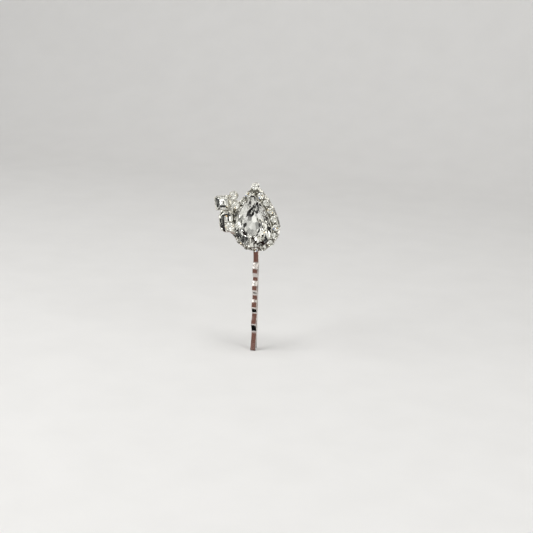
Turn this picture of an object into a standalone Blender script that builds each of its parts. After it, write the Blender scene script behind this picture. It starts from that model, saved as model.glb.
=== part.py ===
"""Rhinestone hair clip: a flat bobby pin whose top carries a pear-shaped crystal in a halo of small
round stones, with a cluster of a square, an octagon and three round stones raised at its left side.

The clip stands upright: +Z runs up the pin to the tip of the pear, the stones face -Y, and the origin
is in the grip, half way along the waves, where the two legs of the pin close on the hair.
"""

import math

import bmesh
import bpy
from mathutils import Vector

MM = 0.001  # every size below is in mm
GAP = 0.03  # between two pieces that touch

# The pin: one strip of flattened spring wire, folded at the top. Y runs through its thickness
STRIP_WIDTH = 1.85
STRIP_THICKNESS = 0.5
BEND_RADIUS = 0.75  # to the middle of the strip
WAVES = 4
WAVE_PITCH = 6.46
WAVE_STEPS = 12
APPROACH = 7.5  # length over which the front leg comes in to the back leg above the waves
TAIL_LENGTH = 6.8
TAIL_FLARE = math.radians(11)
PIN_LENGTH = 51.5
BACK_LEG_SHORTER = 0.6

# The pad that the head is soldered to
PAD_RADIUS = 4.8
PAD_THICKNESS = 0.5
PAD_UP = 0.6  # from the centre of the pear's round end

# The head: heights run towards -Y, from the back face of its plate
PEAR_WIDTH = 13.0
PEAR_LENGTH = 18.7
PEAR_SHOULDER = math.radians(15)  # where the round end passes into the flanks
HEAD_X = 0.5
HEAD_Z = 25.95
HEAD_TURN = math.radians(1.9)
PLATE_THICKNESS = 0.6
PLATE_REACH = 1.85  # outside the pear's edge
EAR_SIZE, EAR_CUT = (5.4, 6.0), 1.2
EAR = (-8.9, 3.2)
HALO_INNER = -0.6  # outside the pear's edge, like the next two
HALO_MIDDLE = 0.95
HALO_OUTER = 1.9
HALO_TOP = 2.4
HALO_PLACES = 18
HALO_STONE = 2.3
TIP_STONE_OUT = 0.95  # the stone over the pear's tip stands out this much further
SCALLOP_RADIUS = 1.25
BEAD_RADIUS = 0.25
BEAD_LIFT = 0.3
BEADS = (-0.55, 0.75)  # to either side of the middle of the halo
MAIN_GIRDLE = 4.6
MAIN_CENTRE = (0.0, 3.4)  # of its facets, from the centre of the round end
MAIN_DEPTH = 3.9
MAIN_RIM, MAIN_SEAT = 0.2, 1.25
MAIN_FOOT = -0.7  # the collet is narrower at its foot, outside the pear's edge
MAIN_CLAWS = (0.003, 0.075, 0.34, 0.44, 0.56, 0.64, 0.925)  # shares of the way round from the tip
MAIN_CLAW_RADIUS = 0.3
BRIDGE_FLOOR = 3.0
BRIDGE_THICKNESS = 0.5

# The cluster: place from the centre of the pear's round end, turn, height of the girdle
SQUARE_SIDE, SQUARE_CUT = 4.4, 0.5
SQUARE = ((-11.05, 8.6), math.radians(7), 5.1)
OCTAGON_SIZE, OCTAGON_CUT = (4.6, 6.9), 1.3
OCTAGON = ((-9.45, 2.2), math.radians(4), 5.1)
ROUNDS = {
    "upper": ((-7.0, 11.35), 2.4, 4.7),
    "middle": ((-6.05, 8.15), 2.4, 4.9),
    "lower": ((-7.65, 0.95), 3.0, 6.95),
}
ROUNDS_TURN = math.radians(22)
LOWER_CUP_FLOOR = 5.7  # this cup overhangs the corner of the octagon
CUP_RIM, CUP_SEAT = 0.25, 0.3
CUP_CLAW_RADIUS = 0.2
SQUARE_CLAWS = (0.023, 0.273, 0.523, 0.773)
OCTAGON_CLAWS = (0.045, 0.232, 0.545)  # the lower round stone covers its fourth corner
ROUND_CLAWS = (0.06, 0.31, 0.56, 0.81)

TURN = 2 * math.pi
UP = Vector((0, 0, 1))
SHARP = math.radians(32)  # edges that turn more than this are not shaded smooth


def clear_scene():
    for thing in list(bpy.data.objects):
        bpy.data.objects.remove(thing)


def material(name, colour, roughness, metallic, transmission=0.0):
    made = bpy.data.materials.new(name)
    made.use_nodes = True
    shader = made.node_tree.nodes["Principled BSDF"]
    shader.inputs["Base Color"].default_value = (*colour, 1)
    shader.inputs["Roughness"].default_value = roughness
    shader.inputs["Metallic"].default_value = metallic
    shader.inputs["Transmission Weight"].default_value = transmission
    return made


def add_piece(name, shape, finish, parent, at=(0, 0, 0), turn=0.0, smooth=True):
    """The bmesh shape as an object; at and turn place it in its parent."""
    bmesh.ops.recalc_face_normals(shape, faces=shape.faces)
    bmesh.ops.scale(shape, vec=(MM, MM, MM), verts=shape.verts)
    mesh = bpy.data.meshes.new(name)
    shape.to_mesh(mesh)
    shape.free()
    if smooth:
        mesh.shade_smooth()
        mesh.set_sharp_from_angle(angle=SHARP)
    mesh.materials.append(finish)
    piece = bpy.data.objects.new(name, mesh)
    bpy.context.scene.collection.objects.link(piece)
    piece.parent = parent
    piece.location = Vector(at) * MM
    piece.rotation_euler.z = turn
    return piece


def add_frame(name, at, rotation=(0, 0, 0)):
    frame = bpy.data.objects.new(name, None)
    bpy.context.scene.collection.objects.link(frame)
    frame.location = Vector(at) * MM
    frame.rotation_euler = rotation
    return frame


def add_boolean(piece, shape, operation):
    """Joins the closed bodies of shape to piece, or cuts them from it."""
    helper = add_piece(piece.name + " " + operation.lower(), shape, piece.active_material, piece.parent)
    helper.location = piece.location
    helper.rotation_euler = piece.rotation_euler
    helper.hide_render = True
    helper.display_type = "WIRE"
    modifier = piece.modifiers.new(operation.title(), "BOOLEAN")
    modifier.operation = operation
    modifier.object = helper
    modifier.solver = "EXACT"


# Outlines: each takes an offset and gives the points of a closed loop, as many for every offset


def pear(offset, flank_steps=8, round_steps=10):
    """From the tip down the right side to the bottom, and up the left side."""
    radius = PEAR_WIDTH / 2
    tip = PEAR_LENGTH - radius
    shift = (tip**2 - radius**2) / (2 * (radius - tip * math.sin(PEAR_SHOULDER)))
    centre = Vector((-math.cos(PEAR_SHOULDER), -math.sin(PEAR_SHOULDER))) * shift
    flank = radius + shift + offset
    top = math.acos(-centre.x / flank)
    right = []
    for k in range(flank_steps):
        angle = top + (PEAR_SHOULDER - top) * k / flank_steps
        right.append(centre + Vector((math.cos(angle), math.sin(angle))) * flank)
    for k in range(round_steps + 1):
        angle = PEAR_SHOULDER - (PEAR_SHOULDER + math.pi / 2) * k / round_steps
        right.append(Vector((math.cos(angle), math.sin(angle))) * (radius + offset))
    left = [Vector((-p.x, p.y)) for p in right[-2:0:-1]]
    return right + left


def cut_rectangle(width, height, corner):
    """An outline for a rectangle with its corners cut off at 45 degrees."""

    def outline(offset):
        a, b = width / 2 + offset, height / 2 + offset
        c = max(corner + offset * (2 - math.sqrt(2)), 0.1)
        corners = ((a, b - c), (a - c, b), (c - a, b), (-a, b - c))
        points = [Vector(p) for p in corners]
        return points + [-p for p in points]

    return outline


def circle(diameter, sides=8):
    def outline(offset):
        radius = diameter / 2 + offset
        angles = [TURN * k / sides for k in range(sides)]
        return [Vector((math.cos(a), math.sin(a))) * radius for a in angles]

    return outline


def along(points, distance):
    """The point that far along a closed loop, and the direction out of the loop there."""
    centre = sum(points, Vector((0, 0))) / len(points)
    for k, a in enumerate(points):
        step = points[(k + 1) % len(points)] - a
        if distance < step.length:
            out = Vector((-step.y, step.x)).normalized()
            if out.dot(a - centre) < 0:
                out.negate()
            return a + step.normalized() * distance, out
        distance -= step.length
    return points[0], (points[0] - centre).normalized()


def loop_length(points):
    return sum((points[k] - points[k - 1]).length for k in range(len(points)))


def halo_places():
    """The centre of each halo stone and its direction out of the pear; the first is at the tip."""
    points = pear(HALO_MIDDLE)
    pitch = loop_length(points) / HALO_PLACES
    places = [along(points, pitch * k) for k in range(HALO_PLACES)]
    places[0] = (points[0] + Vector((0, TIP_STONE_OUT)), Vector((0, 1)))
    return places


# Solids


def join_rings(shape, rings):
    for low, high in zip(rings, rings[1:]):
        for k in range(len(low)):
            n = (k + 1) % len(low)
            shape.faces.new((low[k], low[n], high[n], high[k]))


def loft(shape, outline, section, at=(0, 0), turn=0.0):
    """Adds a closed body to shape, with a ring of outline for each (offset, height) in section."""
    spin = Vector((math.cos(turn), math.sin(turn)))
    rings = []
    for offset, height in section:
        ring = []
        for p in outline(offset):
            x = at[0] + p.x * spin.x - p.y * spin.y
            y = at[1] + p.x * spin.y + p.y * spin.x
            ring.append(shape.verts.new((x, y, height)))
        rings.append(ring)
    join_rings(shape, rings)
    shape.faces.new(rings[0])
    shape.faces.new(rings[-1])
    return shape


def wall(outline, section):
    """A closed wall round outline, whose cross-section is the loop of (offset, height) in section."""
    shape = bmesh.new()
    rings = [[shape.verts.new((p.x, p.y, height)) for p in outline(offset)] for offset, height in section]
    join_rings(shape, rings + rings[:1])
    return shape


def bar(shape, path, radius, sides=6):
    """Adds a closed bar along path to shape."""
    rings = []
    for k, point in enumerate(path):
        way = (path[min(k + 1, len(path) - 1)] - path[max(k - 1, 0)]).normalized()
        side = way.cross(Vector((0.3, 0.9, 0.2))).normalized()
        up = way.cross(side)
        ring = []
        for j in range(sides):
            angle = TURN * j / sides
            ring.append(shape.verts.new(point + (side * math.cos(angle) + up * math.sin(angle)) * radius))
        rings.append(ring)
    join_rings(shape, rings)
    shape.faces.new(rings[0])
    shape.faces.new(rings[-1])


def close_up(shape):
    """Leaves only the convex hull of the shape's vertices."""
    shape.faces.ensure_lookup_table()
    bmesh.ops.delete(shape, geom=shape.faces[:], context="FACES_ONLY")
    hull = bmesh.ops.convex_hull(shape, input=shape.verts[:])
    spare = [v for v in hull["geom_interior"] + hull["geom_unused"] if isinstance(v, bmesh.types.BMVert)]
    bmesh.ops.delete(shape, geom=list(set(spare)), context="VERTS")


def grind(shape, normal, through):
    """Takes away what lies beyond a plane; the shape stays convex."""
    bmesh.ops.bisect_plane(
        shape,
        geom=shape.verts[:] + shape.edges[:] + shape.faces[:],
        dist=1e-4,
        plane_co=through,
        plane_no=normal,
        clear_outer=True,
    )
    close_up(shape)


def brilliant(outline, centre, folds, radius, pavilion):
    """A brilliant cut with its girdle's lower edge at 0: facets slope from the girdle to a peak over
    or under centre. The crown's proportions are those of a round brilliant of that radius."""
    points = outline(-4 * GAP)
    centre = Vector(centre)
    girdle = 0.25
    table = girdle + 0.295 * radius
    shape = bmesh.new()
    bmesh.ops.create_cube(shape, size=60)

    def slope(angle, base, peak):
        way = Vector((math.cos(angle), math.sin(angle)))
        far = max((p - centre).dot(way) for p in points)
        if peak is None:
            grind(shape, way.to_3d(), (centre + way * far).to_3d())
        else:
            normal = way.to_3d() * abs(peak - base) + UP * math.copysign(far, peak)
            grind(shape, normal.normalized(), centre.to_3d() + UP * peak)

    step = TURN / folds
    for k in range(4 * folds):
        slope(math.pi / 2 + step * k / 4, 0, None)
    for k in range(2 * folds):
        angle = math.pi / 2 + step * (k + 0.5) / 2
        slope(angle, girdle, girdle + 0.87 * radius)
        slope(angle, 0, -1.05 * pavilion)
    for k in range(folds):
        angle = math.pi / 2 + step * k
        slope(angle, girdle, girdle + 0.687 * radius)
        slope(angle, 0, -pavilion)
        slope(angle + step / 2, girdle + 0.144 * radius, girdle + 0.464 * radius)
    grind(shape, UP, UP * table)
    grind(shape, -UP, -UP * pavilion * 0.95)
    bmesh.ops.remove_doubles(shape, verts=shape.verts, dist=0.02)
    close_up(shape)
    return shape


def round_section(diameter, grow=0.0):
    """Heights from the girdle's lower edge; grow makes the seat that the stone sits in."""
    radius = diameter / 2
    if grow:
        return [(0.12 * diameter - radius + grow, -0.4 * diameter - grow), (grow, 0), (grow, radius)]
    return [(0.12 * diameter - radius, -0.4 * diameter), (0, 0), (0, 0.08), (-0.42 * radius, 0.16 * diameter)]


def step_section(side):
    """The steps of a step cut whose shorter side is this long."""
    half = side / 2
    pavilion = [(-0.8 * half, -0.62 * half), (-0.5 * half, -0.48 * half), (-0.22 * half, -0.27 * half)]
    crown = [(-0.18 * half, 0.3), (-0.36 * half, 0.44)]
    return pavilion + [(0, 0), (0, 0.12)] + crown


def setting_section(girdle, low, seat, slope, rim, foot=None):
    """A collet: a wall from low up past the girdle, with a seat that slopes in under the stone. It may
    be narrower at its foot, and then it widens to the rim just under the girdle."""
    outside = [(rim, low)]
    if foot is not None:
        outside = [(foot, low), (foot, girdle - 1.6), (rim, girdle - 0.7)]
    return outside + [
        (rim, girdle + 0.12),
        (GAP, girdle + 0.12),
        (GAP, girdle - 0.06),
        (-seat, girdle - 0.06 - slope * seat),
        (-seat, low),
    ]


def claws(outline, places, girdle, low, radius, lift):
    """Bars that stand round a stone and hook over its crown by lift: places along the loop, 0 to 1."""
    shape = bmesh.new()
    points = outline(0.0)
    length = loop_length(points)
    for place in places:
        point, out = along(points, length * place)
        clear = radius + 2 * GAP
        path = [(clear, low), (clear, girdle + 0.25), (clear * 0.6, girdle + 0.3 + clear * 0.7)]
        path.append((-0.5 * clear, girdle + 0.3 + clear * 1.1 + lift))
        bar(shape, [(point + out * a).to_3d() + UP * b for a, b in path], radius)
    return shape


# The pin


def strip(path):
    """A strip along path, a list of (y, z), in X as wide as the wire and rounded at its edges."""
    a, b = STRIP_WIDTH / 2, STRIP_THICKNESS / 2
    section = [(a, -0.4 * b), (a, 0.4 * b), (a - 0.6 * b, b), (0.6 * b - a, b)]
    section += [(-x, -n) for x, n in section]
    shape = bmesh.new()
    rings = []
    for k, (y, z) in enumerate(path):
        before, after = path[max(k - 1, 0)], path[min(k + 1, len(path) - 1)]
        way = Vector((after[0] - before[0], after[1] - before[1])).normalized()
        ring = [shape.verts.new((x, y + n * way.y, z - n * way.x)) for x, n in section]
        rings.append(ring)
    join_rings(shape, rings)
    shape.faces.new(rings[0])
    shape.faces.new(rings[-1])
    return shape


def front_leg_path(front, bend_z):
    """Down from the bend: in to the back leg, out over each wave and back to it, then the flared tail."""
    top = WAVES * WAVE_PITCH / 2
    dip = BEND_RADIUS * 2 - STRIP_THICKNESS - 2 * GAP
    path = [(front, bend_z - GAP)]
    for k in range(WAVE_STEPS):
        phase = math.pi * k / WAVE_STEPS
        path.append((front + dip * (1 - math.cos(phase)) / 2, top + APPROACH * (1 - k / WAVE_STEPS)))
    for k in range(WAVES * WAVE_STEPS + 1):
        phase = TURN * k / WAVE_STEPS
        path.append((front + dip * (1 + math.cos(phase)) / 2, top - WAVE_PITCH * k / WAVE_STEPS))
    end = front + dip - TAIL_LENGTH * math.sin(TAIL_FLARE)
    path.append((end, -top - TAIL_LENGTH * math.cos(TAIL_FLARE)))
    return path


def bend_path(middle, bend_z):
    steps = 14
    gap = GAP / BEND_RADIUS
    angles = [gap + (math.pi - 2 * gap) * k / steps for k in range(steps + 1)]
    return [(middle - BEND_RADIUS * math.cos(a), bend_z + BEND_RADIUS * math.sin(a)) for a in angles]


def build_pin(steel):
    """Gives the y of the front leg's outer face."""
    back = GAP + STRIP_THICKNESS / 2
    middle = back - BEND_RADIUS
    front = middle - BEND_RADIUS
    bottom = -WAVES * WAVE_PITCH / 2 - TAIL_LENGTH
    bend_z = bottom + PIN_LENGTH - BEND_RADIUS - STRIP_THICKNESS / 2
    hinge = add_frame("pin spring axis", (0, middle, bend_z))
    add_piece("pin_front_leg", strip(front_leg_path(front, bend_z)), steel, None)
    add_piece("pin_bend", strip(bend_path(middle, bend_z)), steel, None)
    back_leg = [(BEND_RADIUS, -GAP), (BEND_RADIUS, bottom + BACK_LEG_SHORTER - bend_z)]
    add_piece("pin_back_leg", strip(back_leg), steel, hinge)
    return front - STRIP_THICKNESS / 2


# The head


def build_pad(plated, head):
    shape = loft(bmesh.new(), circle(2 * PAD_RADIUS, 32), [(0, 0), (0, PAD_THICKNESS)])
    add_piece("pin_pad", shape, plated, head, (-HEAD_X, PAD_UP, -GAP - PAD_THICKNESS))


def build_plate(plated, head):
    body = loft(bmesh.new(), pear, [(PLATE_REACH, 0), (PLATE_REACH, PLATE_THICKNESS)])
    plate = add_piece("back_plate", body, plated, head)
    ear = loft(bmesh.new(), cut_rectangle(*EAR_SIZE, EAR_CUT), [(0, 0.05), (0, PLATE_THICKNESS - 0.05)], EAR)
    add_boolean(plate, ear, "UNION")


def build_bridge(plated, head):
    """The raised floor under the cluster, on a foot that stands on the ear of the plate."""
    top = BRIDGE_FLOOR + BRIDGE_THICKNESS
    floor = loft(bmesh.new(), cut_rectangle(4.4, 8.6, 1.0), [(0, BRIDGE_FLOOR), (0, top)], (-9.5, 2.8), 0.07)
    bridge = add_piece("cluster_bridge", floor, plated, head)
    lobes = (
        (cut_rectangle(4.0, 4.0, 0.6), SQUARE[0], 0.14),
        (circle(3.0, 12), (-7.1, 11.2), 0.0),
        (circle(2.8, 12), (-6.35, 8.15), 0.0),
        (circle(2.6, 12), (-7.7, -1.2), 0.0),
        (cut_rectangle(2.6, 4.2, 0.5), (-8.1, 9.3), 0.3),
    )
    for k, (outline, at, turn) in enumerate(lobes):
        section = [(0, BRIDGE_FLOOR + 0.03 * (k + 1)), (0, top - 0.03 * (k + 1))]
        add_boolean(bridge, loft(bmesh.new(), outline, section, at, turn), "UNION")
    post = [(0, BRIDGE_FLOOR + 0.2), (0, LOWER_CUP_FLOOR)]
    add_boolean(bridge, loft(bmesh.new(), circle(0.6), post, (-7.07, -0.83)), "UNION")
    foot = [(0, PLATE_THICKNESS + GAP), (0, BRIDGE_FLOOR + 0.2)]
    add_boolean(bridge, loft(bmesh.new(), cut_rectangle(1.6, 4.6, 0.4), foot, (-10.6, 3.2)), "UNION")


def build_halo(plated, crystal, head):
    places = halo_places()
    low = PLATE_THICKNESS + GAP
    inner, outer = HALO_INNER, HALO_OUTER
    band = [(outer, low), (outer, HALO_TOP - 0.05), (inner, HALO_TOP - 0.05), (inner, low)]
    frame = add_piece("halo_frame", wall(pear, band), plated, head)
    scallops, seats, beads = bmesh.new(), bmesh.new(), bmesh.new()
    for (x, y), out in places:
        turn = math.atan2(out.y, out.x)
        loft(scallops, circle(2 * SCALLOP_RADIUS, 12), [(0, low + 0.2), (0, HALO_TOP)], (x, y), turn)
        section = [(a, b + HALO_TOP + GAP) for a, b in round_section(HALO_STONE, 0.04)]
        loft(seats, circle(HALO_STONE), section, (x, y), turn)
    for k, (place, out) in enumerate(places):
        other, other_out = places[(k + 1) % HALO_PLACES]
        middle = (place + other) / 2
        across = (out + other_out).normalized()
        for side in BEADS:
            at = middle + across * side
            path = [at.to_3d() + UP * (HALO_TOP - 0.5), at.to_3d() + UP * (HALO_TOP + BEAD_LIFT)]
            bar(beads, path, BEAD_RADIUS, 5)
    add_boolean(frame, scallops, "UNION")
    add_boolean(frame, seats, "DIFFERENCE")
    add_boolean(frame, beads, "UNION")
    for k, ((x, y), out) in enumerate(places):
        stone = loft(bmesh.new(), circle(HALO_STONE), round_section(HALO_STONE))
        at = (x, y, HALO_TOP + GAP)
        add_piece(f"halo_stone_{k + 1:02d}", stone, crystal, head, at, math.atan2(out.y, out.x), smooth=False)


def build_main(plated, crystal, head):
    low = PLATE_THICKNESS + GAP
    basket = wall(pear, setting_section(MAIN_GIRDLE, low, MAIN_SEAT, 0.9, MAIN_RIM, MAIN_FOOT))
    setting = add_piece("pear_setting", basket, plated, head)
    hooks = claws(pear, MAIN_CLAWS, MAIN_GIRDLE, HALO_TOP + 0.75, MAIN_CLAW_RADIUS, 0.26)
    add_boolean(setting, hooks, "UNION")
    stone = brilliant(pear, MAIN_CENTRE, 10, PEAR_WIDTH / 2, MAIN_DEPTH)
    add_piece("pear_stone", stone, crystal, head, (0, 0, MAIN_GIRDLE), smooth=False)


def build_cluster_stone(name, outline, section, slope, place, floor, claw_places, finishes):
    plated, crystal, head = finishes
    (x, y), turn, girdle = place
    low = floor + GAP - girdle
    collet = wall(outline, setting_section(0, low, CUP_SEAT, slope, CUP_RIM))
    setting = add_piece(name + "_setting", collet, plated, head, (x, y, girdle), turn, smooth=False)
    add_boolean(setting, claws(outline, claw_places, 0, low + 0.4, CUP_CLAW_RADIUS, 0.1), "UNION")
    stone = loft(bmesh.new(), outline, section)
    add_piece(name + "_stone", stone, crystal, head, (x, y, girdle), turn, smooth=False)


def build_cluster(finishes):
    floor = BRIDGE_FLOOR + BRIDGE_THICKNESS
    square = cut_rectangle(SQUARE_SIDE, SQUARE_SIDE, SQUARE_CUT)
    section = step_section(SQUARE_SIDE)
    build_cluster_stone("square", square, section, 1.4, SQUARE, floor, SQUARE_CLAWS, finishes)
    octagon = cut_rectangle(*OCTAGON_SIZE, OCTAGON_CUT)
    section = step_section(OCTAGON_SIZE[0])
    build_cluster_stone("octagon", octagon, section, 1.4, OCTAGON, floor, OCTAGON_CLAWS, finishes)
    for name, (at, size, girdle) in ROUNDS.items():
        place = (at, ROUNDS_TURN, girdle)
        under = LOWER_CUP_FLOOR if name == "lower" else floor
        section = round_section(size)
        build_cluster_stone(name + "_round", circle(size), section, 1.2, place, under, ROUND_CLAWS, finishes)


def build_head(leg_face):
    plated = material("rhodium plate", (0.78, 0.77, 0.74), 0.18, 1.0)
    crystal = material("foiled crystal", (0.93, 0.94, 0.93), 0.03, 0.0, 0.6)
    back = leg_face - 2 * GAP - PAD_THICKNESS
    head = add_frame("head", (HEAD_X, back, HEAD_Z), (math.pi / 2, -HEAD_TURN, 0))
    build_pad(plated, head)
    build_plate(plated, head)
    build_halo(plated, crystal, head)
    build_main(plated, crystal, head)
    build_bridge(plated, head)
    build_cluster((plated, crystal, head))


clear_scene()
build_head(build_pin(material("pin steel", (0.72, 0.70, 0.68), 0.15, 1.0)))
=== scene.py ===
"""Rhinestone hair clip: the looks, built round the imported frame. Sizes are in millimetres until a piece
is placed. +Z runs up the pin, and the stones face -Y.
"""

import math
import random

import bmesh
import bpy
from mathutils import Matrix, Vector


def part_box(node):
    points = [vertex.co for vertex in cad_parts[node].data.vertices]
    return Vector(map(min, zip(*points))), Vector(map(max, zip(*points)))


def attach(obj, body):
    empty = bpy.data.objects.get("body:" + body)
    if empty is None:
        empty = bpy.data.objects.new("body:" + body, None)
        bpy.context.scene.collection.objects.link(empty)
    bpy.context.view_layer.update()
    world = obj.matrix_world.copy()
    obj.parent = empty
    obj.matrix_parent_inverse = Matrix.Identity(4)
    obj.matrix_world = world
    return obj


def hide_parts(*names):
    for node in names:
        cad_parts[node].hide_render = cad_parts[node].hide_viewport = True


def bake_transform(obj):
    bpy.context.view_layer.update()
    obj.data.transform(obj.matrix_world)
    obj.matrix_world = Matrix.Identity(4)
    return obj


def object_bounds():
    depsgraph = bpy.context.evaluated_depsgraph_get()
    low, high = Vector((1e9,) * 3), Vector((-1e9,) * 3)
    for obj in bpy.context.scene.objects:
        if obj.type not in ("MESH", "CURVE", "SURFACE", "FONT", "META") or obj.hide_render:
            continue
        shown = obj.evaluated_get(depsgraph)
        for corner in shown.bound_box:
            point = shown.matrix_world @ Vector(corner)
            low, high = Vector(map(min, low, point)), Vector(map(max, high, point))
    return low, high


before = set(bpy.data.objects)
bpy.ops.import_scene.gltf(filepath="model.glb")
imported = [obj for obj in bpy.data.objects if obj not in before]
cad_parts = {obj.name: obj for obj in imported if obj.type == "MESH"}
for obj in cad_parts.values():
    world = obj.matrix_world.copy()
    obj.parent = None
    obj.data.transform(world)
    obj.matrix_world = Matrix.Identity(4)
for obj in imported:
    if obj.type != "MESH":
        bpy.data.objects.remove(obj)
cad_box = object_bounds()

# ----------------------------------------------------------------------------------------------
# The pin: one strip of flattened spring steel wire, nickel plated, crimped into waves on its front
# leg and folded over at the top. The front leg carries the head, and its tail flares to let hair in.
# ----------------------------------------------------------------------------------------------

MM = 0.001
TURN = 2 * math.pi
STRIP_WIDTH = 1.85
STRIP_THICKNESS = 0.5
STRIP_EDGE_RADIUS = 0.12
BEND_RADIUS = 0.75  # to the middle of the strip
WAVES = 4
WAVE_PITCH = 6.46
WAVE_STEPS = 30
APPROACH = 7.5  # over which the front leg comes in to the back leg, above the waves
TAIL_LENGTH = 6.8
TAIL_FLARE = math.radians(11)
BACK_LEG_Y = 0.28
BEND_Y = BACK_LEG_Y - BEND_RADIUS
FRONT_LEG_Y = BEND_Y - BEND_RADIUS
BEND_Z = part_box("pin_bend")[1].z / MM - BEND_RADIUS - STRIP_THICKNESS / 2
WAVE_DEPTH = 0.94


def new_material(name):
    made = bpy.data.materials.new(name)
    made.use_nodes = True
    return made, made.node_tree.nodes, made.node_tree.links


def noise(nodes, links, scale, detail, low, high, low_value, high_value, stretch=(1, 1, 1)):
    """A noise over the object, in steps of 1 / scale m, mapped from low..high to the two values."""
    place = nodes.new("ShaderNodeTexCoord")
    mapping = nodes.new("ShaderNodeMapping")
    mapping.inputs["Scale"].default_value = stretch
    links.new(place.outputs["Object"], mapping.inputs["Vector"])
    texture = nodes.new("ShaderNodeTexNoise")
    texture.inputs["Scale"].default_value = scale
    texture.inputs["Detail"].default_value = detail
    links.new(mapping.outputs["Vector"], texture.inputs["Vector"])
    spread = nodes.new("ShaderNodeMapRange")
    spread.inputs["From Min"].default_value = low
    spread.inputs["From Max"].default_value = high
    spread.inputs["To Min"].default_value = low_value
    spread.inputs["To Max"].default_value = high_value
    links.new(texture.outputs["Fac"], spread.inputs["Value"])
    return spread.outputs["Result"]


def tinted(nodes, links, factor, first, second):
    mix = nodes.new("ShaderNodeMix")
    mix.data_type = "RGBA"
    mix.inputs[6].default_value = (*first, 1)
    mix.inputs[7].default_value = (*second, 1)
    links.new(factor, mix.inputs[0])
    return mix.outputs[2]


def bump(nodes, links, height, distance, shader):
    node = nodes.new("ShaderNodeBump")
    node.inputs["Strength"].default_value = 0.5
    node.inputs["Distance"].default_value = distance
    links.new(height, node.inputs["Height"])
    links.new(node.outputs["Normal"], shader.inputs["Normal"])


def nickel_plated_steel():
    """Bright plate with the faint lengthways drawing marks of the wire."""
    made, nodes, links = new_material("nickel plated steel")
    shader = nodes["Principled BSDF"]
    shader.inputs["Metallic"].default_value = 1.0
    worn = noise(nodes, links, 260, 3, 0.35, 0.7, 0, 1)
    colour = tinted(nodes, links, worn, (0.74, 0.70, 0.67), (0.60, 0.56, 0.54))
    links.new(colour, shader.inputs["Base Color"])
    links.new(noise(nodes, links, 420, 4, 0.3, 0.7, 0.07, 0.2), shader.inputs["Roughness"])
    drawn = noise(nodes, links, 9000, 2, 0.3, 0.7, 0, 1, (1, 1, 0.02))
    bump(nodes, links, drawn, 0.000004, shader)
    return made


def join_rings(shape, rings, closed=False):
    pairs = list(zip(rings, rings[1:]))
    if closed:
        pairs.append((rings[-1], rings[0]))
    for low, high in pairs:
        for k in range(len(low)):
            n = (k + 1) % len(low)
            shape.faces.new((low[k], low[n], high[n], high[k]))


def strip_section():
    """Half way round the wire from its +X edge, then the other half."""
    a, b, r = STRIP_WIDTH / 2, STRIP_THICKNESS / 2, STRIP_EDGE_RADIUS
    half = []
    for corner in (0, 1):
        for k in range(6):
            angle = (corner + k / 5) * math.pi / 2
            x = (a - r if corner == 0 else r - a) + r * math.cos(angle)
            half.append((x, b - r + r * math.sin(angle)))
    return half + [(-x, -n) for x, n in half]


def strip(path):
    """The wire along path, a list of (y, z)."""
    shape = bmesh.new()
    rings = []
    for k, (y, z) in enumerate(path):
        before, after = path[max(k - 1, 0)], path[min(k + 1, len(path) - 1)]
        way = Vector((after[0] - before[0], after[1] - before[1])).normalized()
        rings.append([shape.verts.new((x, y + n * way.y, z - n * way.x)) for x, n in strip_section()])
    join_rings(shape, rings)
    shape.faces.new(rings[0])
    shape.faces.new(rings[-1])
    return shape


SHARP = math.radians(35)  # edges sharper than this stay crisp


def add_piece(name, shape, finishes, body, nodes, place=None):
    """The bmesh shape as a piece that rides on body and stands for the CAD nodes."""
    bmesh.ops.recalc_face_normals(shape, faces=shape.faces)
    bmesh.ops.scale(shape, vec=(MM, MM, MM), verts=shape.verts)
    mesh = bpy.data.meshes.new(name)
    shape.to_mesh(mesh)
    shape.free()
    for finish in finishes:
        mesh.materials.append(finish)
    mesh.shade_smooth()
    mesh.set_sharp_from_angle(angle=SHARP)
    return place_piece(name, mesh, body, nodes, place)


def place_piece(name, mesh, body, nodes, place):
    piece = bpy.data.objects.new(name, mesh)
    bpy.context.scene.collection.objects.link(piece)
    if place is not None:
        piece.matrix_world = place
    if body:
        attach(piece, body)
    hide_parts(*nodes)
    return piece


def front_leg_path():
    top = WAVES * WAVE_PITCH / 2
    path = [(FRONT_LEG_Y, BEND_Z)]
    for k in range(WAVE_STEPS):
        dip = WAVE_DEPTH * (1 - math.cos(math.pi * k / WAVE_STEPS)) / 2
        path.append((FRONT_LEG_Y + dip, top + APPROACH * (1 - k / WAVE_STEPS)))
    for k in range(WAVES * WAVE_STEPS + 1):
        dip = WAVE_DEPTH * (1 + math.cos(TURN * k / WAVE_STEPS)) / 2
        path.append((FRONT_LEG_Y + dip, top - WAVE_PITCH * k / WAVE_STEPS))
    for k in range(1, 9):
        angle = TAIL_FLARE * min(1, k / 4)
        y, z = path[-1]
        step = TAIL_LENGTH / 8
        path.append((y - step * math.sin(angle), z - step * math.cos(angle)))
    return path


def bend_path():
    angles = [math.pi * k / 24 for k in range(25)]
    return [(BEND_Y - BEND_RADIUS * math.cos(a), BEND_Z + BEND_RADIUS * math.sin(a)) for a in angles]


def at_mm(x, y, z):
    return (x * MM, y * MM, z * MM)


ROOT, LEG = "head_and_front_leg", "back_leg"
steel = nickel_plated_steel()
back_leg_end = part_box("pin_back_leg")[0].z / MM
add_piece("waved_leg", strip(front_leg_path()), [steel], ROOT, ["pin_front_leg"])
bend = add_piece("folded_bend", strip(bend_path()), [steel], None, ["pin_bend"])
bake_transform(bend)
back_leg = [(BACK_LEG_Y, BEND_Z), (BACK_LEG_Y, BEND_Z / 2), (BACK_LEG_Y, back_leg_end)]
add_piece("flat_leg", strip(back_leg), [steel], LEG, ["pin_back_leg"])

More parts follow.
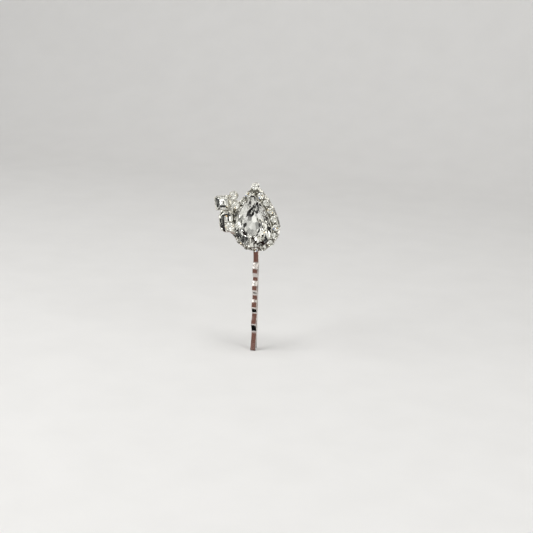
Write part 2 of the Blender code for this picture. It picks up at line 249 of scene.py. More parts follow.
# ----------------------------------------------------------------------------------------------
# The pad and the back plate: a stamped brass disc welded to the front leg, and the pear-shaped brass
# plate soldered to it, with an ear that reaches out under the cluster. Both are rhodium plated.
# ----------------------------------------------------------------------------------------------

PEAR_WIDTH = 13.0
PEAR_LENGTH = 18.7
PEAR_SHOULDER = math.radians(15)  # where the round end passes into the flanks
HEAD_X = 0.5
HEAD_Z = 25.95
HEAD_TURN = math.radians(1.9)
HEAD_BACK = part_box("back_plate")[1].y / MM
PLATE_THICKNESS = 0.6
PLATE_REACH = 1.85
PAD_RADIUS = 4.8
PAD_THICKNESS = 0.5
PAD_UP = 0.6
EAR_AT = (-8.9, 3.2)
GAP = 0.03  # between pieces that are soldered or glued together

# Places on the head are given with X and Y over its face, from the middle of the pear's round end,
# and with Z the height towards the viewer from the back of the plate.
HEAD = (
    Matrix.Translation(at_mm(HEAD_X, HEAD_BACK, HEAD_Z))
    @ Matrix.Rotation(-HEAD_TURN, 4, "Y")
    @ Matrix.Rotation(math.pi / 2, 4, "X")
)


def on_head(x, y, height, turn=0.0):
    return HEAD @ Matrix.Translation(at_mm(x, y, height)) @ Matrix.Rotation(turn, 4, "Z")


def rhodium_plate():
    """Cast brass with bright white plating: softly mottled, with small pits from the casting."""
    made, nodes, links = new_material("rhodium plated brass")
    shader = nodes["Principled BSDF"]
    shader.inputs["Metallic"].default_value = 1.0
    mottled = noise(nodes, links, 700, 4, 0.35, 0.7, 0, 1)
    colour = tinted(nodes, links, mottled, (0.80, 0.79, 0.74), (0.52, 0.51, 0.46))
    links.new(colour, shader.inputs["Base Color"])
    links.new(noise(nodes, links, 1500, 3, 0.3, 0.7, 0.06, 0.24), shader.inputs["Roughness"])
    bump(nodes, links, noise(nodes, links, 2600, 3, 0.3, 0.7, 0, 1), 0.00001, shader)
    return made


def pear(offset, flank_steps=16, round_steps=24):
    """The pear's outline, moved out by offset: from the tip down the right side, and up the left."""
    radius = PEAR_WIDTH / 2
    tip = PEAR_LENGTH - radius
    shift = (tip**2 - radius**2) / (2 * (radius - tip * math.sin(PEAR_SHOULDER)))
    centre = Vector((-math.cos(PEAR_SHOULDER), -math.sin(PEAR_SHOULDER))) * shift
    flank = radius + shift + offset
    top = math.acos(-centre.x / flank)
    right = []
    for k in range(flank_steps):
        angle = top + (PEAR_SHOULDER - top) * k / flank_steps
        right.append(centre + Vector((math.cos(angle), math.sin(angle))) * flank)
    for k in range(round_steps + 1):
        angle = PEAR_SHOULDER - (PEAR_SHOULDER + math.pi / 2) * k / round_steps
        right.append(Vector((math.cos(angle), math.sin(angle))) * (radius + offset))
    left = [Vector((-p.x, p.y)) for p in right[-2:0:-1]]
    return right + left


def circle(diameter, sides=48):
    def outline(offset):
        radius = diameter / 2 + offset
        angles = [TURN * k / sides for k in range(sides)]
        return [Vector((math.cos(a), math.sin(a))) * radius for a in angles]

    return outline


def cut_rectangle(width, height, corner):
    """An outline for a rectangle with its corners cut off at 45 degrees."""

    def outline(offset):
        a, b = width / 2 + offset, height / 2 + offset
        c = max(corner + offset * (2 - math.sqrt(2)), 0.1)
        points = [Vector(p) for p in ((a, b - c), (a - c, b), (c - a, b), (-a, b - c))]
        return points + [-p for p in points]

    return outline


def loft(shape, outline, section, at=(0, 0), turn=0.0):
    """Adds a closed body with a ring of outline for each (offset, height) in section."""
    spin = Matrix.Rotation(turn, 2)
    rings = []
    for offset, height in section:
        moved = [spin @ p + Vector(at) for p in outline(offset)]
        rings.append([shape.verts.new((p.x, p.y, height)) for p in moved])
    join_rings(shape, rings)
    shape.faces.new(rings[0])
    shape.faces.new(rings[-1])
    return shape


def softened(low, high, edge):
    """A section for a plate between two heights, with its edges rounded."""
    angles = (0, 0.4, 0.8, 1.2, math.pi / 2)
    rounding = [(math.sin(a) * edge - edge, (1 - math.cos(a)) * edge) for a in angles]
    lower = [(x, low + y) for x, y in rounding]
    return lower + [(x, high - y) for x, y in reversed(rounding)]


rhodium = rhodium_plate()
pad = loft(bmesh.new(), circle(2 * PAD_RADIUS, 72), softened(0, PAD_THICKNESS, 0.12))
pad_height = -PAD_THICKNESS - GAP
add_piece("glue_pad", pad, [rhodium], ROOT, ["pin_pad"], on_head(-HEAD_X, PAD_UP, pad_height))

plate_section = [(x + PLATE_REACH, y) for x, y in softened(0, PLATE_THICKNESS, 0.15)]
plate = loft(bmesh.new(), pear, plate_section)
loft(plate, cut_rectangle(5.4, 6.0, 1.2), softened(0.05, PLATE_THICKNESS - 0.05, 0.12), EAR_AT)
add_piece("pear_back_plate", plate, [rhodium], ROOT, ["back_plate"], on_head(0, 0, 0))

# ----------------------------------------------------------------------------------------------
# The halo frame: a cast ring round the pear with one bored seat for each small stone. Its outside
# swells round every stone, and pairs of beads raised between the stones hold them down. The top face
# between the beads gets a dark grey that is painted shade for the recesses.
# ----------------------------------------------------------------------------------------------

HALO_INNER = -0.6
HALO_MIDDLE = 0.95
HALO_OUTER = 1.9
HALO_TOP = 2.4
HALO_STONES = 18
HALO_STONE = 2.3
TIP_STONE_OUT = 0.95  # the stone over the pear's tip stands out this much further
SCALLOP_RADIUS = 1.2
SEAT_RADIUS = HALO_STONE / 2 + 0.02
SEAT_DEPTH = 1.2
BEAD_RADIUS = 0.32
BEAD_LIFT = 0.3
BEAD_FOOT = 0.4
BEADS_OUT = (-0.55, 0.72)  # of each pair, out from the line of the stones


def walk(points):
    """How far round the closed loop each point is, and the whole length."""
    distances = [0.0]
    for a, b in zip(points, points[1:] + points[:1]):
        distances.append(distances[-1] + (b - a).length)
    return distances[:-1], distances[-1]


def along(points, distance):
    """The point that far round a closed loop, and the direction out of the loop there."""
    middle = sum(points, Vector((0, 0))) / len(points)
    for a, b in zip(points, points[1:] + points[:1]):
        step = b - a
        if distance < step.length:
            out = Vector((-step.y, step.x)).normalized()
            if out.dot(a - middle) < 0:
                out.negate()
            return a + step.normalized() * distance, out
        distance -= step.length
    return points[0], (points[0] - middle).normalized()


def halo_places():
    points = pear(HALO_MIDDLE)
    pitch = walk(points)[1] / HALO_STONES
    places = [along(points, pitch * k) for k in range(HALO_STONES)]
    places[0] = (points[0] + Vector((0, TIP_STONE_OUT)), Vector((0, 1)))
    return places


def scalloped_ring(shape):
    """Each row of the ring is a level of its side. A point of an outside row reaches out by its scallop."""
    steps = (110, 150)
    distances, length = walk(pear(HALO_MIDDLE, *steps))
    pitch = length / HALO_STONES
    foot = 0.63
    levels = [
        (0, foot, True),
        (0, HALO_TOP - 0.35, True),
        (-0.04, HALO_TOP - 0.18, True),
        (-0.16, HALO_TOP - 0.05, True),
        (-0.35, HALO_TOP - 0.02, True),
        (HALO_INNER + 0.2, HALO_TOP - 0.02, False),
        (HALO_INNER, HALO_TOP - 0.15, False),
        (HALO_INNER, foot, False),
    ]
    swell = []
    for distance in distances:
        off = abs((distance / pitch + 0.5) % 1 - 0.5) * pitch
        scallop = math.sqrt(max(0.0, SCALLOP_RADIUS**2 - off**2))
        swell.append(HALO_MIDDLE + max(HALO_OUTER - HALO_MIDDLE, scallop))
    rings = []
    for reach, height, outside in levels:
        if outside:
            rows = {}
            ring = []
            for k, out in enumerate(swell):
                key = round(out + reach, 3)
                if key not in rows:
                    rows[key] = pear(key, *steps)
                ring.append(shape.verts.new((*rows[key][k], height)))
            rings.append(ring)
        else:
            rings.append([shape.verts.new((*p, height)) for p in pear(reach, *steps)])
    join_rings(shape, rings, closed=True)


def bead(shape, at, radius, height):
    """A round-topped post of that radius: its crown is a half ball whose top is at height."""
    rings = []
    profile = [(radius, height - radius - BEAD_FOOT), (radius, height - radius)]
    for k in range(1, 4):
        angle = math.pi / 2 * k / 4
        profile.append((radius * math.cos(angle), height - radius * (1 - math.sin(angle))))
    for r, z in profile:
        around = [(at.x + r * math.cos(a), at.y + r * math.sin(a), z) for a in TENTHS]
        rings.append([shape.verts.new(p) for p in around])
    join_rings(shape, rings)
    top = shape.verts.new((at.x, at.y, height))
    for k in range(len(TENTHS)):
        shape.faces.new((rings[-1][k], rings[-1][(k + 1) % len(TENTHS)], top))
    shape.faces.new(rings[0])


def sunk(shape, centres, radius, floor):
    """The shape with a round seat for a stone bored at each centre, down to floor."""
    bits = bmesh.new()
    for centre in centres:
        loft(bits, circle(2 * radius, 24), [(0, floor), (0, HALO_TOP + 1)], centre)
    solids = []
    for name, part in (("uncut", shape), ("bits", bits)):
        bmesh.ops.recalc_face_normals(part, faces=part.faces)
        mesh = bpy.data.meshes.new(name)
        part.to_mesh(mesh)
        part.free()
        solids.append(bpy.data.objects.new(name, mesh))
        bpy.context.scene.collection.objects.link(solids[-1])
    cut = solids[0].modifiers.new("seats", "BOOLEAN")
    cut.operation = "DIFFERENCE"
    cut.solver = "EXACT"
    cut.use_self = True
    cut.object = solids[1]
    bored = bmesh.new()
    bored.from_object(solids[0], bpy.context.evaluated_depsgraph_get())
    for solid in solids:
        mesh = solid.data
        bpy.data.objects.remove(solid)
        bpy.data.meshes.remove(mesh)
    return bored


def painted_recess_shade():
    """The floor between the beads, painted dark grey: painted shade for the recess between the stones."""
    made, nodes, _ = new_material("painted shade between the beads")
    shader = nodes["Principled BSDF"]
    shader.inputs["Metallic"].default_value = 1.0
    shader.inputs["Base Color"].default_value = (0.16, 0.155, 0.135, 1)
    shader.inputs["Roughness"].default_value = 0.45
    return made


TENTHS = [TURN * k / 10 for k in range(10)]
painted_shade = painted_recess_shade()
places = halo_places()
ring = bmesh.new()
scalloped_ring(ring)
for k, (place, out) in enumerate(places):
    other, other_out = places[(k + 1) % HALO_STONES]
    across = (out + other_out).normalized()
    for side in BEADS_OUT:
        bead(ring, (place + other) / 2 + across * side, BEAD_RADIUS, HALO_TOP + BEAD_LIFT)
tip_round = softened(PLATE_THICKNESS + GAP, HALO_TOP - 0.03, 0.15)
loft(ring, circle(2 * SCALLOP_RADIUS), tip_round, places[0][0])
ring = sunk(ring, [place for place, _ in places], SEAT_RADIUS, HALO_TOP - SEAT_DEPTH)
# The flat top floor between the beads takes the second slot, the painted shade.
for face in ring.faces:
    centre = face.calc_center_median()
    if abs(face.normal.z) > 0.9 and HALO_TOP - 0.1 < centre.z < HALO_TOP:
        face.material_index = 1
add_piece("scalloped_halo", ring, [rhodium, painted_shade], ROOT, ["halo_frame"], on_head(0, 0, 0))

# ----------------------------------------------------------------------------------------------
# The halo stones: round foiled glass chatons, pressed, ground and polished with flat facets. The
# silver foil on the back of each one throws the light out again through its front.
# ----------------------------------------------------------------------------------------------


def crystal_glass():
    made, nodes, _ = new_material("clear crystal glass")
    shader = nodes["Principled BSDF"]
    shader.inputs["Base Color"].default_value = (0.985, 0.99, 0.985, 1)
    shader.inputs["Transmission Weight"].default_value = 1.0
    shader.inputs["Roughness"].default_value = 0.0
    shader.inputs["IOR"].default_value = 1.56
    return made


def silver_foil():
    """Vacuum-coated mirror on the back facets, each with its own grey; a few small facets carry painted
    fire, spectral colour painted in for the glass's dispersion.
    """
    made, nodes, links = new_material("silver foil")
    shader = nodes["Principled BSDF"]
    shader.inputs["Metallic"].default_value = 1.0
    shader.inputs["Roughness"].default_value = 0.03
    tint = nodes.new("ShaderNodeAttribute")
    tint.attribute_name = "facet grey and painted fire"
    links.new(tint.outputs["Color"], shader.inputs["Base Color"])
    return made


def close_up(shape):
    """Leaves only the convex hull of the shape's vertices."""
    bmesh.ops.delete(shape, geom=shape.faces[:], context="FACES_ONLY")
    hull = bmesh.ops.convex_hull(shape, input=shape.verts[:])
    spare = [v for v in hull["geom_interior"] + hull["geom_unused"] if isinstance(v, bmesh.types.BMVert)]
    bmesh.ops.delete(shape, geom=list(set(spare)), context="VERTS")


def grind(shape, normal, through):
    """Takes away what lies beyond a plane; the stone stays convex."""
    bmesh.ops.bisect_plane(
        shape,
        geom=shape.verts[:] + shape.edges[:] + shape.faces[:],
        dist=1e-4,
        plane_co=through,
        plane_no=normal,
        clear_outer=True,
    )
    close_up(shape)


def brilliant(outline, centre, folds, radius, girdle, depth, tiers):
    """A brilliant cut with its girdle's lower edge at 0: facets slope from the girdle to a peak over
    or under centre. The crown's proportions are those of a round brilliant of that radius. Each tier
    of the back has a number of facets and two shares of the depth: under the girdle and under centre.
    The last number of tiers is the share at which the back ends in a flat."""
    points = outline(0.0)
    centre = Vector(centre)
    shape = bmesh.new()
    bmesh.ops.create_cube(shape, size=60)

    def slope(angle, base, peak):
        way = Vector((math.cos(angle), math.sin(angle)))
        far = max((p - centre).dot(way) for p in points)
        if peak is None:
            grind(shape, way.to_3d(), (centre + way * far).to_3d())
        else:
            normal = way.to_3d() * abs(peak - base) + Vector((0, 0, math.copysign(far, peak)))
            grind(shape, normal.normalized(), (*centre, peak))

    step = TURN / folds
    for k in range(4 * folds):
        slope(math.pi / 2 + step * k / 4, 0, None)
    for k in range(2 * folds):
        slope(math.pi / 2 + step * (k + 0.5) / 2, girdle, girdle + 0.87 * radius)
    for k in range(folds):
        slope(math.pi / 2 + step * k, girdle, girdle + 0.687 * radius)
        slope(math.pi / 2 + step * (k + 0.5), girdle + 0.144 * radius, girdle + 0.464 * radius)
    for count, under_girdle, under_centre in tiers[:-1]:
        for k in range(count):
            slope(math.pi / 2 + TURN * (k + 0.5) / count, -under_girdle * depth, -under_centre * depth)
    grind(shape, Vector((0, 0, 1)), (0, 0, girdle + 0.295 * radius))
    grind(shape, Vector((0, 0, -1)), (0, 0, -tiers[-1] * depth))
    bmesh.ops.remove_doubles(shape, verts=shape.verts, dist=0.004)
    close_up(shape)
    bmesh.ops.dissolve_limit(shape, angle_limit=math.radians(0.3), verts=shape.verts, edges=shape.edges)
    return shape


# Painted fire: colours of the glass's dispersion, painted into the foil of a few back facets.
PAINTED_FIRE = ((0.35, 0.5, 1.0), (0.45, 0.85, 1.0), (1.0, 0.7, 0.35), (0.95, 0.8, 0.55))

PAINTED_FIRE_FACET = 0.5  # only facets smaller than this, in square mm, get painted fire


def foil_facets(shape, seed, painted_fire_share):
    """Gives each back facet the foil and its own random grey; the last argument is the share of small back
    facets whose grey is swapped for painted fire, a spectral colour painted in place of the glass's
    dispersion.
    """
    dice = random.Random(seed)
    layer = shape.loops.layers.float_color.new("facet grey and painted fire")
    bmesh.ops.recalc_face_normals(shape, faces=shape.faces)
    for face in sorted(shape.faces, key=lambda f: tuple(round(c, 3) for c in f.calc_center_median())):
        back = face.normal.z < 0.05
        face.material_index = 1 if back else 0
        grey = dice.choice((0.98, 0.96, 0.93, 0.88, 0.78))
        colour = (grey, grey, grey * 0.975)
        # A few small back facets get painted fire instead of their grey.
        if back and dice.random() < painted_fire_share and face.calc_area() < PAINTED_FIRE_FACET:
            colour = dice.choice(PAINTED_FIRE)
        for corner in face.loops:
            corner[layer] = (*colour, 1)


def stone_mesh(name, shape, seed, painted_fire_share):
    foil_facets(shape, seed, painted_fire_share)
    bmesh.ops.scale(shape, vec=(MM, MM, MM), verts=shape.verts)
    mesh = bpy.data.meshes.new(name)
    shape.to_mesh(mesh)
    shape.free()
    mesh.materials.append(crystal)
    mesh.materials.append(foil)
    return mesh


crystal = crystal_glass()
foil = silver_foil()
CHATON_TIERS = ((16, 0, 1.12), (8, 0.1, 1.0), 0.93)
chatons = []
for variant in range(4):
    shape = brilliant(circle(HALO_STONE - 0.02), (0, 0), 8, HALO_STONE / 2, 0.06, 0.9, CHATON_TIERS)
    chatons.append(stone_mesh(f"halo chaton {variant}", shape, 20 + variant, 0.03))
for k, ((x, y), out) in enumerate(places):
    turn = math.atan2(out.y, out.x) + 0.35 * math.sin(5 * k)
    place = on_head(x, y, HALO_TOP + 0.03, turn)
    name = f"halo_chaton_{k + 1:02d}"
    place_piece(name, chatons[k % 4], ROOT, [f"halo_stone_{k + 1:02d}"], place)

# ----------------------------------------------------------------------------------------------
# The pear's setting: a deep collet of plated brass that lifts the large stone above the halo, with a
# rounded lip and seven claws bent over the edge of the stone, one of them at its tip.
# ----------------------------------------------------------------------------------------------

PEAR_GIRDLE = 4.6
PEAR_RIM = 0.2
PEAR_SEAT = 1.25
PEAR_SEAT_SLOPE = 1.1
PEAR_FOOT = -0.7
PEAR_CLAWS = (0.003, 0.075, 0.34, 0.44, 0.56, 0.64, 0.925)  # shares of the way round, from the tip
PEAR_CLAW_RADIUS = 0.3
PEAR_CLAW_FOOT = 0.75


def wall(outline, section):
    """A closed wall round outline, whose cross-section is the loop of (offset, height) in section."""
    shape = bmesh.new()
    rings = [[shape.verts.new((*p, height)) for p in outline(offset)] for offset, height in section]
    join_rings(shape, rings, closed=True)
    return shape


def collet_section(girdle, low, seat, slope, rim, foot=None):
    """Up the outside, over a rounded lip and down the slope that the stone sits on. A collet with a
    narrower foot widens to the rim under the girdle."""
    lip = girdle + 0.12
    outside = [(rim, low)]
    if foot is not None:
        outside = [(foot, low), (foot, girdle - 1.6), (foot + 0.12, girdle - 1.35), (rim, girdle - 0.7)]
    return outside + [
        (rim, lip - 0.08),
        (rim - 0.03, lip - 0.02),
        (rim - 0.08, lip),
        (0.05, lip),
        (0.02, girdle - 0.06),
        (-seat, girdle - 0.06 - slope * seat),
        (-seat, low),
    ]


def claw(shape, point, out, radius, path):
    """A wire along path, a list of (distance out, height), whose end is rounded like a bead."""
    points = [point.to_3d() + out.to_3d() * a + Vector((0, 0, b)) for a, b in path]
    across = out.to_3d().cross(Vector((0, 0, 1)))
    rings = []
    stations = [(p, radius) for p in points[:-1]]
    way = (points[-1] - points[-2]).normalized()
    for k in range(4):
        angle = math.pi / 2 * k / 3.6
        stations.append((points[-1] + way * radius * (math.sin(angle) - 1), radius * math.cos(angle)))
    for k, (p, r) in enumerate(stations):
        before, after = stations[max(k - 1, 0)][0], stations[min(k + 1, len(stations) - 1)][0]
        up = (after - before).normalized().cross(across)
        rings.append([shape.verts.new(p + (across * math.cos(a) + up * math.sin(a)) * r) for a in TENTHS])
    join_rings(shape, rings)
    shape.faces.new(rings[0])
    shape.faces.new(rings[-1])


def add_claws(shape, outline, shares, girdle, low, radius, lift):
    """Claws at these shares of the way round the outline, hooked over the crown by lift."""
    points = outline(0.0)
    length = walk(points)[1]
    for share in shares:
        point, out = along(points, length * share)
        clear = radius + 0.06
        path = [
            (clear, low),
            (clear, girdle + 0.15),
            (clear * 0.85, girdle + 0.35),
            (clear * 0.45, girdle + 0.55),
            (-0.5 * clear, girdle + 0.3 + clear * 1.1 + lift),
        ]
        claw(shape, point, out, radius, path)


pear_collet_section = collet_section(
    PEAR_GIRDLE, PLATE_THICKNESS + GAP, PEAR_SEAT, PEAR_SEAT_SLOPE, PEAR_RIM, PEAR_FOOT
)
collet = wall(pear, pear_collet_section)
add_claws(collet, pear, PEAR_CLAWS, PEAR_GIRDLE, HALO_TOP + PEAR_CLAW_FOOT, PEAR_CLAW_RADIUS, 0.26)
add_piece("pear_collet", collet, [rhodium], ROOT, ["pear_setting"], on_head(0, 0, 0))

# ----------------------------------------------------------------------------------------------
# The pear stone: clear foiled glass, 18.5 x 12.8 mm, in a pear brilliant cut. Three tiers of back facets
# fan out from a point above the middle of the round end. Foil covers the back and the girdle.
# ----------------------------------------------------------------------------------------------

PEAR_CENTRE = (0.0, 3.4)
PEAR_DEPTH = 4.3
PEAR_TIERS = ((32, 0, 1.4), (16, 0.18, 1.14), (11, 0.42, 0.98), 0.9)

edge = pear(-0.1)
shape = brilliant(lambda offset: edge, PEAR_CENTRE, 12, PEAR_WIDTH / 2, 0.25, PEAR_DEPTH, PEAR_TIERS)
mesh = stone_mesh("pear brilliant", shape, 7, 0.12)
place_piece("pear_brilliant", mesh, ROOT, ["pear_stone"], on_head(0, 0, PEAR_GIRDLE))

# ----------------------------------------------------------------------------------------------
# The cluster's bridge: a raised brass floor that joins the collets of the side stones, on a foot
# soldered to the plate's ear, with a short post under the collet that overhangs the octagon.
# ----------------------------------------------------------------------------------------------

BRIDGE_FLOOR = 3.0
BRIDGE_TOP = 3.5
LOWER_CUP_FLOOR = 5.7

bridge = bmesh.new()
floor_section = softened(BRIDGE_FLOOR, BRIDGE_TOP, 0.1)
lobes = (
    (cut_rectangle(4.4, 8.6, 1.0), (-9.5, 2.8), 0.07),
    (cut_rectangle(4.0, 4.0, 0.6), (-11.05, 8.6), 0.14),
    (circle(3.0), (-7.1, 11.2), 0.0),
    (circle(2.8), (-6.35, 8.15), 0.0),
    (circle(2.6), (-7.7, -1.2), 0.0),
    (cut_rectangle(2.6, 4.2, 0.5), (-8.1, 9.3), 0.3),
)
for k, (outline, at, turn) in enumerate(lobes):
    drop = 0.012 * k
    loft(bridge, outline, [(x, y - drop) for x, y in floor_section], at, turn)
loft(bridge, circle(0.6), [(0, BRIDGE_FLOOR + 0.2), (0, LOWER_CUP_FLOOR)], (-7.07, -0.83))
foot_section = [(0, PLATE_THICKNESS + GAP), (0, BRIDGE_FLOOR + 0.2)]
loft(bridge, cut_rectangle(1.6, 4.6, 0.4), foot_section, (-10.6, 3.2))
add_piece("cluster_floor", bridge, [rhodium], ROOT, ["cluster_bridge"], on_head(0, 0, 0))

# ----------------------------------------------------------------------------------------------
# The square and the octagon: step-cut foiled glass, whose facets run round them like nested frames,
# each in its own brass collet with claws at the corners.
# ----------------------------------------------------------------------------------------------


def step_cut(outline, side):
    """The steps of a stone whose shorter side is this long, from its keel up to its table."""
    half = side / 2
    section = [(-0.86 * half, -0.62 * half), (-0.62 * half, -0.56 * half), (-0.4 * half, -0.42 * half)]
    section += [(-0.18 * half, -0.23 * half), (0, 0), (0, 0.1), (-0.16 * half, 0.3), (-0.34 * half, 0.43)]
    return loft(bmesh.new(), outline, section)


COLLET_SEAT = 0.3
COLLET_RIM = 0.25
COLLET_CLAW_RADIUS = 0.2


def set_stone(name, node, shape, outline, place, floor, slope, shares, seed):
    """A stone of the cluster in its collet: place is where it is, its turn and its girdle's height."""
    (x, y), turn, girdle = place
    low = floor + GAP - girdle
    collet = wall(outline, collet_section(0, low, COLLET_SEAT, slope, COLLET_RIM))
    add_claws(collet, outline, shares, 0, low + 0.4, COLLET_CLAW_RADIUS, 0.1)
    where = on_head(x, y, girdle, turn)
    add_piece(name + "_collet", collet, [rhodium], ROOT, [node + "_setting"], where)
    mesh = stone_mesh(name, shape, seed, 0.05)
    place_piece(name, mesh, ROOT, [node + "_stone"], where)


STEP_SEAT_SLOPE = 1.4
step_stones = (
    ("square", (4.4, 4.4, 0.5), (-11.05, 8.6), 7, 5.1, (0.023, 0.273, 0.523, 0.773), 3),
    ("octagon", (4.6, 6.9, 1.3), (-9.45, 2.2), 4, 5.1, (0.045, 0.232, 0.545), 4),
)
for node, size, at, degrees, girdle, claws, seed in step_stones:
    outline = cut_rectangle(*size)
    shape = step_cut(outline, size[0])
    place = (at, math.radians(degrees), girdle)
    name = node + "_step_cut"
    set_stone(name, node, shape, outline, place, BRIDGE_TOP, STEP_SEAT_SLOPE, claws, seed)

# ----------------------------------------------------------------------------------------------
# The three round stones of the cluster: foiled chatons in cup collets with four claws each.
# ----------------------------------------------------------------------------------------------

ROUNDS_TURN = math.radians(22)
CUP_SEAT_SLOPE = 1.2
QUARTERS = (0.06, 0.31, 0.56, 0.81)
rounds = (
    ("upper", (-7.0, 11.35), 2.4, 4.7, BRIDGE_TOP),
    ("middle", (-6.05, 8.15), 2.4, 4.9, BRIDGE_TOP),
    ("lower", (-7.65, 0.95), 3.0, 6.95, LOWER_CUP_FLOOR),
)
for k, (name, at, size, girdle, floor) in enumerate(rounds):
    shape = brilliant(circle(size - 0.02), (0, 0), 8, size / 2, 0.08, 0.4 * size, CHATON_TIERS)
    place = (at, ROUNDS_TURN, girdle)
    node = name + "_round"
    set_stone(name + "_chaton", node, shape, circle(size), place, floor, CUP_SEAT_SLOPE, QUARTERS, 40 + k)

# ----------------------------------------------------------------------------------------------
# The studio: a pale paper sweep under the tail of the pin, three soft lamps and the camera. A tent and
# two cards, none of them visible to the camera, give the polished pieces a room to reflect.
# ----------------------------------------------------------------------------------------------


SWEEP_REACH = 4000
SWEEP_BEHIND = 260
SWEEP_CURVE = 200
SWEEP_HEIGHT = 900


def pale_paper():
    made, nodes, links = new_material("pale paper")
    shader = nodes["Principled BSDF"]
    grain = noise(nodes, links, 60, 3, 0.3, 0.7, 0, 1)
    colour = tinted(nodes, links, grain, (0.80, 0.79, 0.77), (0.78, 0.77, 0.75))
    links.new(colour, shader.inputs["Base Color"])
    shader.inputs["Roughness"].default_value = 0.9
    shader.inputs["Specular IOR Level"].default_value = 0.0
    return made


def add_sweep():
    """Floor, curve and wall in one sheet, a little under the tail of the pin."""
    floor_z = cad_box[0].z / MM - 0.1
    profile = [(-SWEEP_REACH, floor_z), (SWEEP_BEHIND, floor_z)]
    for k in range(1, 13):
        angle = math.pi / 2 * k / 12
        y = SWEEP_BEHIND + SWEEP_CURVE * math.sin(angle)
        profile.append((y, floor_z + SWEEP_CURVE * (1 - math.cos(angle))))
    profile.append((SWEEP_BEHIND + SWEEP_CURVE, floor_z + SWEEP_HEIGHT))
    shape = bmesh.new()
    rows = [[shape.verts.new((x, y, z)) for y, z in profile] for x in (-SWEEP_REACH, SWEEP_REACH)]
    for k in range(len(profile) - 1):
        shape.faces.new((rows[0][k], rows[1][k], rows[1][k + 1], rows[0][k + 1]))
    bmesh.ops.scale(shape, vec=(MM, MM, MM), verts=shape.verts)
    mesh = bpy.data.meshes.new("sweep")
    shape.to_mesh(mesh)
    shape.free()
    mesh.materials.append(pale_paper())
    mesh.shade_smooth()
    sweep = bpy.data.objects.new("sweep", mesh)
    bpy.context.scene.collection.objects.link(sweep)


def from_angle(azimuth, elevation, distance):
    """A point round the head: azimuth 0 is in front of it, 90 to its right."""
    a, e = math.radians(azimuth), math.radians(elevation)
    way = Vector((math.sin(a) * math.cos(e), -math.cos(a) * math.cos(e), math.sin(e)))
    return Vector(at_mm(HEAD_X, HEAD_BACK, HEAD_Z)) + way * distance * MM


def aim(thing, target):
    thing.rotation_euler = (target - thing.location).to_track_quat("-Z", "Y").to_euler()


def add_lamp(name, azimuth, elevation, distance, size, watts, colour=(1, 1, 1)):
    lamp = bpy.data.lights.new(name, "AREA")
    lamp.shape = "RECTANGLE"
    lamp.size, lamp.size_y = size[0] * MM, size[1] * MM
    lamp.energy = watts
    lamp.color = colour
    holder = bpy.data.objects.new(name, lamp)
    bpy.context.scene.collection.objects.link(holder)
    holder.location = from_angle(azimuth, elevation, distance)
    aim(holder, Vector(at_mm(HEAD_X, HEAD_BACK, HEAD_Z)))
    holder.visible_camera = False


CAMERA_AZIMUTH = 16.0
CAMERA_ELEVATION = 16.0
CAMERA_ROLL = math.radians(1.66)
CAMERA_DISTANCE = 520.0
LENS = 100.0
AIM_RIGHT, AIM_UP = 3.63, 10.55  # from the origin, over the picture


def add_camera():
    camera = bpy.data.objects.new("camera", bpy.data.cameras.new("camera"))
    bpy.context.scene.collection.objects.link(camera)
    a, e = math.radians(CAMERA_AZIMUTH), math.radians(CAMERA_ELEVATION)
    back = Vector((math.sin(a) * math.cos(e), -math.cos(a) * math.cos(e), math.sin(e)))
    right = Vector((math.cos(a), math.sin(a), 0))
    up = back.cross(right)
    target = (right * AIM_RIGHT + up * AIM_UP) * MM
    camera.location = target + back * CAMERA_DISTANCE * MM
    turned = Matrix((right, up, back)).transposed().to_4x4() @ Matrix.Rotation(CAMERA_ROLL, 4, "Z")
    camera.rotation_euler = turned.to_euler()
    camera.data.lens = LENS
    camera.data.clip_start = 0.01
    bpy.context.scene.camera = camera


def add_world():
    world = bpy.data.worlds.new("studio")
    world.use_nodes = True
    world.node_tree.nodes["Background"].inputs["Color"].default_value = (0.55, 0.56, 0.58, 1)
    world.node_tree.nodes["Background"].inputs["Strength"].default_value = 0.25
    bpy.context.scene.world = world


def reflected_room():
    """What the polished pieces mirror: a dim room broken up by bright panes, brighter overhead."""
    made, nodes, links = new_material("reflected room")
    place = nodes.new("ShaderNodeTexCoord")
    cells = nodes.new("ShaderNodeTexVoronoi")
    cells.inputs["Scale"].default_value = 11.0
    cells.distance = "CHEBYCHEV"
    links.new(place.outputs["Generated"], cells.inputs["Vector"])
    split = nodes.new("ShaderNodeSeparateColor")
    links.new(cells.outputs["Color"], split.inputs["Color"])
    level = nodes.new("ShaderNodeValToRGB")
    level.color_ramp.interpolation = "CONSTANT"
    stops = ((0.0, 0.2), (0.1, 0.34), (0.34, 0.62), (0.6, 1.0), (0.84, 2.8))
    for k, (position, value) in enumerate(stops):
        stop = level.color_ramp.elements[k] if k < 2 else level.color_ramp.elements.new(position)
        stop.position = position
        stop.color = (value, value * 0.99, value * 0.95, 1)
    links.new(split.outputs["Red"], level.inputs["Fac"])
    glow = nodes.new("ShaderNodeEmission")
    links.new(level.outputs["Color"], glow.inputs["Color"])
    links.new(glow.outputs["Emission"], nodes["Material Output"].inputs["Surface"])
    made.cycles.emission_sampling = "NONE"
    return made


TENT_RADIUS = 130.0


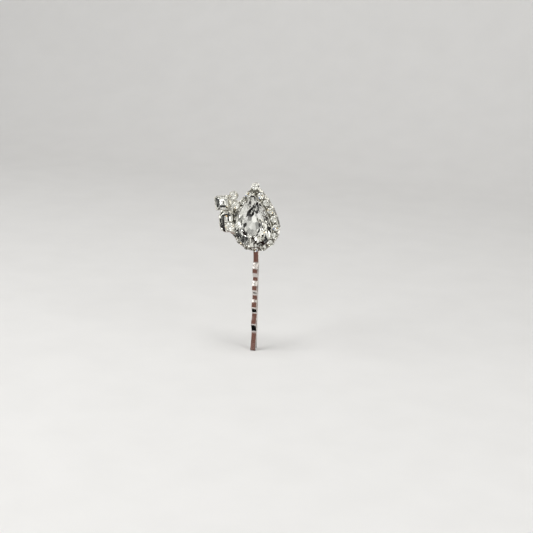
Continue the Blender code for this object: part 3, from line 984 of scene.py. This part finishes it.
def add_tent():
    """A shell round the object that only mirrors and glass see."""
    shape = bmesh.new()
    bmesh.ops.create_icosphere(shape, subdivisions=5, radius=TENT_RADIUS * MM)
    mesh = bpy.data.meshes.new("tent")
    shape.to_mesh(mesh)
    shape.free()
    mesh.materials.append(reflected_room())
    tent = bpy.data.objects.new("tent", mesh)
    bpy.context.scene.collection.objects.link(tent)
    tent.location = at_mm(HEAD_X, HEAD_BACK, HEAD_Z)
    tent.visible_camera = False
    tent.visible_diffuse = False
    tent.visible_shadow = False


def add_card(name, left, right, profile, light, dark):
    """A bent card in front, through each (y, z) above the floor, which only reflections show."""
    floor_z = cad_box[0].z / MM
    shape = bmesh.new()
    rows = [[shape.verts.new((x, y, floor_z + z)) for y, z in profile] for x in (left, right)]
    for k in range(len(profile) - 1):
        shape.faces.new((rows[0][k], rows[1][k], rows[1][k + 1], rows[0][k + 1]))
    bmesh.ops.scale(shape, vec=(MM, MM, MM), verts=shape.verts)
    mesh = bpy.data.meshes.new(name)
    shape.to_mesh(mesh)
    shape.free()
    made, nodes, links = new_material(name)
    glow = nodes.new("ShaderNodeEmission")
    grain = noise(nodes, links, 25, 3, 0.35, 0.65, 0, 1)
    links.new(tinted(nodes, links, grain, light, dark), glow.inputs["Color"])
    links.new(glow.outputs["Emission"], nodes["Material Output"].inputs["Surface"])
    made.cycles.emission_sampling = "NONE"
    mesh.materials.append(made)
    card = bpy.data.objects.new(name, mesh)
    bpy.context.scene.collection.objects.link(card)
    card.visible_camera = False
    card.visible_diffuse = False
    card.visible_shadow = False
    card.visible_transmission = False


add_sweep()
add_tent()
warm_profile = [(-22, 0), (-30, 0), (-30, 33)]
add_card("warm card", -24, 10, warm_profile, (0.30, 0.15, 0.12), (0.16, 0.09, 0.075))
add_card("black card", -9, 5, [(-11, 0), (0, 0)], (0.004, 0.004, 0.004), (0.01, 0.01, 0.01))
add_lamp("window", -50, 35, 620, (420, 420), 2.3)
add_lamp("fill", 62, 25, 620, (300, 420), 1.3)
add_lamp("top", 5, 78, 600, (360, 260), 1.6)
add_world()
add_camera()
bpy.context.scene.view_settings.view_transform = "Standard"
